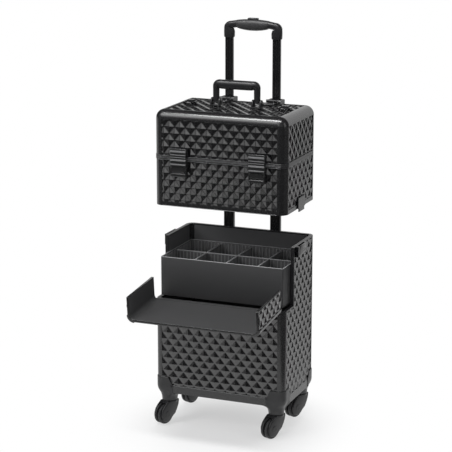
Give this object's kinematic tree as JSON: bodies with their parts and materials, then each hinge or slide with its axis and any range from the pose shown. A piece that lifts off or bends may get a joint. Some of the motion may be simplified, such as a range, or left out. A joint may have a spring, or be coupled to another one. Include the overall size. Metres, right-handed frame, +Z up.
{
  "type": "rolling makeup train case",
  "caption": "Rolling makeup train case: a lower case with a drop-front flap and a lift-out compartment box, an upper case with a hinged lid on trolley posts, and swivel casters.",
  "frame": {"origin": "on the floor, at the middle of the whole outline, with the flap open and the trolley handle up", "axes": "+X to the right of someone facing the front, +Y to the rear, +Z up"},
  "size_m": [0.36, 0.4104, 1.009],
  "materials": {
    "panel": "glossy, dark charcoal, moulded in a diamond pattern",
    "lining": "matt dark grey",
    "profile": "satin dark grey",
    "hardware": "satin black",
    "tube": "satin black",
    "steel": "brushed",
    "box": "matt dark grey",
    "wheel": "matt black",
    "soft_grip": "satin dark grey",
    "strip": "matt dark grey, flexible"
  },
  "bodies": {
    "lower_case": {"base_frame": "profile", "base_board": "lining", "corner_brackets": "hardware", "caster_cups": "steel", "lower_front_wall": "panel", "lower_side_walls": "panel", "lower_rear_wall": "panel", "lower_corner_posts": "profile", "lower_rim_trim": "hardware", "box_ledges": "hardware", "flap_hinge_brackets": "hardware", "side_latch_bases": "hardware", "post_outer_tubes": "tube", "post_mounts": "hardware", "flap_strip": "strip"},
    "flap": {"flap_panel": "panel", "flap_cheeks": "panel", "flap_hinge_arms": "hardware"},
    "compartment_box": {"compartment_box": "box", "long_divider": "box", "cross_dividers": "box"},
    "trolley_handle": {"post_inner_tubes": "tube", "trolley_grip": "hardware", "grip_pad": "soft_grip"},
    "release_button": {"release_button": "hardware"},
    "upper_case": {"upper_floor": "lining", "upper_walls": "panel", "upper_back_panel": "panel", "upper_frame": "profile", "upper_bottom_trim": "profile", "upper_rim": "profile", "tray_ledges": "hardware", "post_sleeves": "hardware", "latch_bases": "hardware", "side_keepers": "hardware", "lid_hinge_base": "hardware"},
    "lid": {"lid_top": "panel", "lid_walls": "panel", "lid_edge_frame": "profile", "lid_rim": "profile", "lid_hinge_leaf": "hardware", "latch_catches": "hardware", "handle_mounts": "hardware", "ring_mounts": "hardware"},
    "lift_tray": {"lift_tray": "box"},
    "carry_handle": {"carry_handle": "hardware"},
    "latch_lever_left": {"latch_lever_left": "hardware"},
    "latch_lever_right": {"latch_lever_right": "hardware"},
    "side_latch_lever_left": {"side_latch_lever_left": "hardware"},
    "side_latch_lever_right": {"side_latch_lever_right": "hardware"},
    "strap_ring_left": {"strap_ring_left": "tube"},
    "strap_ring_right": {"strap_ring_right": "tube"},
    "caster_front_left": {"caster_fork_front_left": "hardware"},
    "wheel_front_left": {"caster_wheel_front_left": "wheel"},
    "caster_front_right": {"caster_fork_front_right": "hardware"},
    "wheel_front_right": {"caster_wheel_front_right": "wheel"},
    "caster_rear_left": {"caster_fork_rear_left": "hardware"},
    "wheel_rear_left": {"caster_wheel_rear_left": "wheel"},
    "caster_rear_right": {"caster_fork_rear_right": "hardware"},
    "wheel_rear_right": {"caster_wheel_rear_right": "wheel"}
  },
  "joints": [
    {"name": "flap_hinge", "type": "hinge", "parent": "lower_case", "child": "flap", "pos_m": [0, -0.04234, 0.3175], "axis": [1, 0, 0], "range_deg": [-95.5, 0], "deforming": ["flap_strip"]},
    {"name": "box_lift", "type": "slide", "parent": "lower_case", "child": "compartment_box", "axis": [0, 0, 1], "range_m": [0, 0.04]},
    {"name": "trolley_slide", "type": "slide", "parent": "lower_case", "child": "trolley_handle", "axis": [0, 0, 1], "range_m": [-0.14, 0]},
    {"name": "release_press", "type": "slide", "parent": "trolley_handle", "child": "release_button", "axis": [0, 0, -1], "range_m": [0, 0.003], "stiffness_N_per_m": 800, "springref_m": -0.0005},
    {"name": "upper_case_slide", "type": "slide", "parent": "lower_case", "child": "upper_case", "axis": [0, 0, 1], "range_m": [-0.0925, 0]},
    {"name": "lid_hinge", "type": "hinge", "parent": "upper_case", "child": "lid", "pos_m": [0, 0.16166, 0.8084], "axis": [-1, 0, 0], "range_deg": [0, 55]},
    {"name": "tray_lift", "type": "slide", "parent": "upper_case", "child": "lift_tray", "axis": [0, 0, 1], "range_m": [0, 0.1]},
    {"name": "carry_handle_fold", "type": "hinge", "parent": "lid", "child": "carry_handle", "pos_m": [0, 0.08266, 0.815], "axis": [1, 0, 0], "range_deg": [-80, 88]},
    {"name": "latch_left", "type": "hinge", "parent": "upper_case", "child": "latch_lever_left", "pos_m": [-0.102, -0.04234, 0.658], "axis": [1, 0, 0], "range_deg": [0, 95]},
    {"name": "latch_right", "type": "hinge", "parent": "upper_case", "child": "latch_lever_right", "pos_m": [0.102, -0.04234, 0.658], "axis": [1, 0, 0], "range_deg": [0, 95]},
    {"name": "side_latch_left", "type": "hinge", "parent": "lower_case", "child": "side_latch_lever_left", "pos_m": [-0.1765, 0.07466, 0.452], "axis": [0, -1, 0], "range_deg": [0, 95]},
    {"name": "side_latch_right", "type": "hinge", "parent": "lower_case", "child": "side_latch_lever_right", "pos_m": [0.1765, 0.07466, 0.452], "axis": [0, 1, 0], "range_deg": [0, 95]},
    {"name": "strap_ring_left_swing", "type": "hinge", "parent": "lid", "child": "strap_ring_left", "pos_m": [-0.125, 0.09066, 0.808], "axis": [-1, 0, 0], "range_deg": [0, 120]},
    {"name": "strap_ring_right_swing", "type": "hinge", "parent": "lid", "child": "strap_ring_right", "pos_m": [0.125, 0.09066, 0.808], "axis": [-1, 0, 0], "range_deg": [0, 120]},
    {"name": "swivel_front_left", "type": "hinge", "parent": "lower_case", "child": "caster_front_left", "pos_m": [-0.144, -0.01034, 0.06], "axis": [0, 0, 1], "continuous": true},
    {"name": "wheel_spin_front_left", "type": "hinge", "parent": "caster_front_left", "child": "wheel_front_left", "pos_m": [-0.1517, -0.03148, 0.026], "axis": [0.9397, -0.342, 0], "continuous": true},
    {"name": "swivel_front_right", "type": "hinge", "parent": "lower_case", "child": "caster_front_right", "pos_m": [0.144, -0.01034, 0.06], "axis": [0, 0, 1], "continuous": true},
    {"name": "wheel_spin_front_right", "type": "hinge", "parent": "caster_front_right", "child": "wheel_front_right", "pos_m": [0.1363, -0.03148, 0.026], "axis": [0.9397, -0.342, 0], "continuous": true},
    {"name": "swivel_rear_left", "type": "hinge", "parent": "lower_case", "child": "caster_rear_left", "pos_m": [-0.144, 0.15966, 0.06], "axis": [0, 0, 1], "continuous": true},
    {"name": "wheel_spin_rear_left", "type": "hinge", "parent": "caster_rear_left", "child": "wheel_rear_left", "pos_m": [-0.1517, 0.13852, 0.026], "axis": [0.9397, -0.342, 0], "continuous": true},
    {"name": "swivel_rear_right", "type": "hinge", "parent": "lower_case", "child": "caster_rear_right", "pos_m": [0.144, 0.15966, 0.06], "axis": [0, 0, 1], "continuous": true},
    {"name": "wheel_spin_rear_right", "type": "hinge", "parent": "caster_rear_right", "child": "wheel_rear_right", "pos_m": [0.1363, 0.13852, 0.026], "axis": [0.9397, -0.342, 0], "continuous": true}
  ]
}
